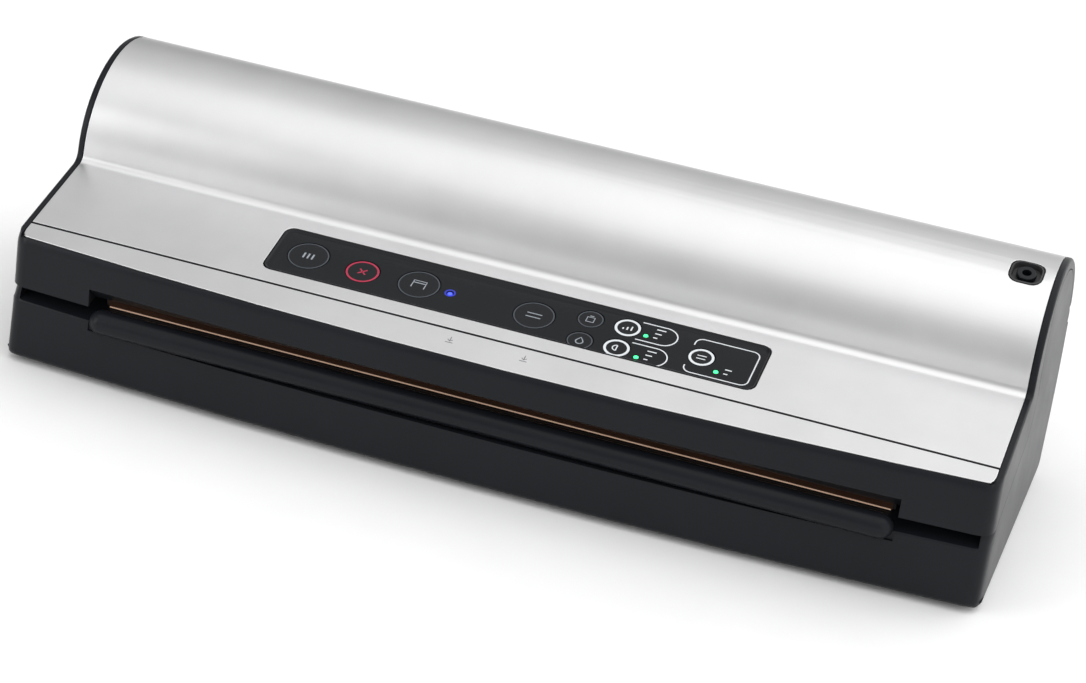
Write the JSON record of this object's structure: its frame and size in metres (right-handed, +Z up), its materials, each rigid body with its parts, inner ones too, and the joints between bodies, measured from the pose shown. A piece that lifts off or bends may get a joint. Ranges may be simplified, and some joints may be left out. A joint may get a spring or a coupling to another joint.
{
  "type": "vacuum sealer",
  "caption": "Countertop vacuum sealer with hinged steel-topped lid, seal bar, drip tray, vacuum pump, latches, accessory port and a recessed key panel.",
  "frame": {"origin": "centre of the bounding box at the underside of the feet", "axes": "+X along the length to the right seen from the front, +Y to the back, +Z up"},
  "size_m": [0.3972, 0.1404, 0.104],
  "materials": {
    "black_plastic": "satin moulded black plastic",
    "inner_plastic": "matt black plastic",
    "brushed_steel": "stainless steel brushed along its length",
    "panel_gloss": "glossy black panel",
    "key_gloss": "glossy black key",
    "green_lamp": "lit green lens",
    "blue_lamp": "lit blue lens",
    "rubber": "matt rubber",
    "foam": "closed-cell foam",
    "silicone": "silicone rubber",
    "seal_tape": "brown coated glass cloth",
    "heating_wire": "flat resistance wire",
    "zinc_steel": "zinc-plated steel",
    "motor_can": "plated steel can",
    "circuit_board": "green circuit board",
    "transformer_core": "varnished core"
  },
  "bodies": {
    "base": {"base_shell": "black_plastic", "bottom_cover": "inner_plastic", "drip_tray": "inner_plastic", "foot_front_left": "rubber", "foot_front_right": "rubber", "foot_rear_left": "rubber", "foot_rear_right": "rubber", "heating_wire_front": "heating_wire", "heating_wire_rear": "heating_wire", "hinge_pin_left": "zinc_steel", "hinge_pin_right": "zinc_steel", "latch_solenoid": "motor_can", "latch_spring": "zinc_steel", "lid_switch": "inner_plastic", "lower_gasket": "foam", "main_board": "circuit_board", "mains_inlet": "inner_plastic", "pump_cylinder": "inner_plastic", "pump_motor": "motor_can", "screw_front_left": "zinc_steel", "screw_front_right": "zinc_steel", "screw_rear_left": "zinc_steel", "screw_rear_right": "zinc_steel", "seal_bar": "inner_plastic", "seal_tape": "seal_tape", "suction_hose": "rubber", "transformer": "transformer_core", "vent_valve": "inner_plastic"},
    "lid": {"lid_frame": "black_plastic", "top_plate": "brushed_steel", "front_strip": "brushed_steel", "lid_inner_cover": "inner_plastic", "upper_gasket": "foam", "press_strip": "silicone", "control_fascia": "panel_gloss", "control_board": "circuit_board", "lamp_ready": "blue_lamp", "lamp_vacuum_level": "green_lamp", "lamp_food_type": "green_lamp", "lamp_seal_mode": "green_lamp", "port_socket": "inner_plastic", "port_nozzle": "key_gloss"},
    "key_pulse": {"key_pulse": "key_gloss"},
    "key_cancel": {"key_cancel": "key_gloss"},
    "key_vacuum_seal": {"key_vacuum_seal": "key_gloss"},
    "key_manual_seal": {"key_manual_seal": "key_gloss"},
    "key_canister": {"key_canister": "key_gloss"},
    "key_marinate": {"key_marinate": "key_gloss"},
    "key_vacuum_level": {"key_vacuum_level": "key_gloss"},
    "key_food_type": {"key_food_type": "key_gloss"},
    "key_seal_mode": {"key_seal_mode": "key_gloss"},
    "latch": {"latch_shaft": "zinc_steel", "latch_hook_left": "inner_plastic", "latch_hook_right": "inner_plastic"},
    "crank": {"pump_crank": "zinc_steel"},
    "piston": {"pump_piston": "zinc_steel"},
    "plunger": {"solenoid_plunger": "zinc_steel"},
    "switch_plunger": {"lid_switch_plunger": "zinc_steel"}
  },
  "joints": [
    {"name": "lid_hinge", "type": "hinge", "parent": "base", "child": "lid", "pos_m": [0, 0.06416, 0.0674], "axis": [-1, 0, 0], "range_deg": [0, 65]},
    {"name": "key_pulse_press", "type": "slide", "parent": "lid", "child": "key_pulse", "axis": [0, 0.2113, -0.9774], "range_m": [0, 0.0005], "stiffness_N_per_m": 800, "springref_m": -0.0006},
    {"name": "key_cancel_press", "type": "slide", "parent": "lid", "child": "key_cancel", "axis": [0, 0.2113, -0.9774], "range_m": [0, 0.0005], "stiffness_N_per_m": 800, "springref_m": -0.0006},
    {"name": "key_vacuum_seal_press", "type": "slide", "parent": "lid", "child": "key_vacuum_seal", "axis": [0, 0.2113, -0.9774], "range_m": [0, 0.0005], "stiffness_N_per_m": 800, "springref_m": -0.0006},
    {"name": "key_manual_seal_press", "type": "slide", "parent": "lid", "child": "key_manual_seal", "axis": [0, 0.2113, -0.9774], "range_m": [0, 0.0005], "stiffness_N_per_m": 800, "springref_m": -0.0006},
    {"name": "key_canister_press", "type": "slide", "parent": "lid", "child": "key_canister", "axis": [0, 0.2113, -0.9774], "range_m": [0, 0.0005], "stiffness_N_per_m": 800, "springref_m": -0.0006},
    {"name": "key_marinate_press", "type": "slide", "parent": "lid", "child": "key_marinate", "axis": [0, 0.2113, -0.9774], "range_m": [0, 0.0005], "stiffness_N_per_m": 800, "springref_m": -0.0006},
    {"name": "key_vacuum_level_press", "type": "slide", "parent": "lid", "child": "key_vacuum_level", "axis": [0, 0.2113, -0.9774], "range_m": [0, 0.0005], "stiffness_N_per_m": 800, "springref_m": -0.0006},
    {"name": "key_food_type_press", "type": "slide", "parent": "lid", "child": "key_food_type", "axis": [0, 0.2113, -0.9774], "range_m": [0, 0.0005], "stiffness_N_per_m": 800, "springref_m": -0.0006},
    {"name": "key_seal_mode_press", "type": "slide", "parent": "lid", "child": "key_seal_mode", "axis": [0, 0.2113, -0.9774], "range_m": [0, 0.0005], "stiffness_N_per_m": 800, "springref_m": -0.0006},
    {"name": "latch_turn", "type": "hinge", "parent": "base", "child": "latch", "pos_m": [0, -0.03784, 0.015], "axis": [-1, 0, 0], "range_deg": [0, 14.5], "stiffness_Nm_per_rad": 0.05, "springref_deg": -17.19},
    {"name": "crank_spin", "type": "hinge", "parent": "base", "child": "crank", "pos_m": [-0.11, 0.03216, 0.037], "axis": [1, 0, 0], "continuous": true},
    {"name": "piston_stroke", "type": "slide", "parent": "base", "child": "piston", "axis": [0, 0, 1], "range_m": [-0.0025, 0.0025]},
    {"name": "plunger_pull", "type": "slide", "parent": "base", "child": "plunger", "axis": [0, 1, 0], "range_m": [0, 0.0016]},
    {"name": "switch_press", "type": "slide", "parent": "base", "child": "switch_plunger", "axis": [0, 0.2113, -0.9774], "range_m": [0, 0.0015], "stiffness_N_per_m": 300, "springref_m": -0.001}
  ],
  "couplings": [
    {"joint": "latch_turn", "follows": "plunger_pull", "rad_per_m": 158}
  ]
}
